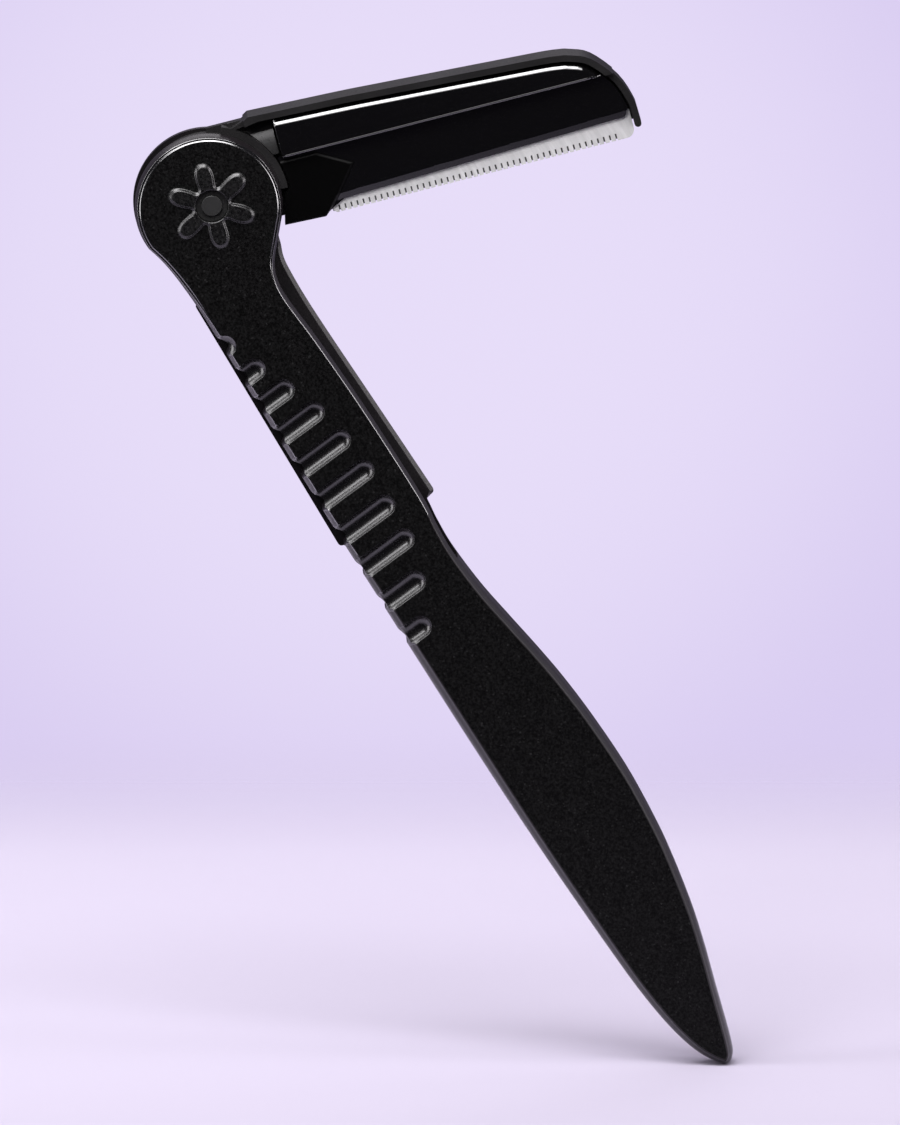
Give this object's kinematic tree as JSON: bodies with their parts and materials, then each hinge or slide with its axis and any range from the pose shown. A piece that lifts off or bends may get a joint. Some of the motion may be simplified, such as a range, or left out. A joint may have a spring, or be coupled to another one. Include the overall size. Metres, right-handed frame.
{
  "type": "folding eyebrow razor",
  "caption": "Slim two-shell handle with a flowered pivot and a guarded steel blade on an arm that folds into the handle's slot.",
  "frame": {"origin": "where the pivot's axis meets the flat back of the handle", "axes": "+X down the handle to its tip, +Z out of the flowered face, +Y towards the side where the arm folds in"},
  "size_m": [0.1266, 0.0568, 0.0055],
  "materials": {
    "handle_plastic": "fine satin black with a faint sparkle",
    "arm_plastic": "satin black",
    "cover_gloss": "mirror gloss black",
    "blade_steel": "ground steel",
    "guard_steel": "bright thin foil",
    "pin_steel": "dark blackened steel",
    "collar_steel": "dark blackened steel",
    "washer_plastic": "natural white acetal"
  },
  "bodies": {
    "handle": {"front_shell": "handle_plastic", "rear_shell": "handle_plastic", "pivot_pin": "pin_steel", "pin_collar": "collar_steel", "front_washer": "washer_plastic", "rear_washer": "washer_plastic"},
    "arm": {"arm_frame": "arm_plastic", "arm_cover": "cover_gloss", "blade": "blade_steel", "skin_guard": "guard_steel"}
  },
  "joints": [
    {"name": "arm_fold", "type": "hinge", "parent": "handle", "child": "arm", "pos_m": [0, 0, 0], "axis": [0, 0, 1], "range_deg": [-72, 106]}
  ]
}
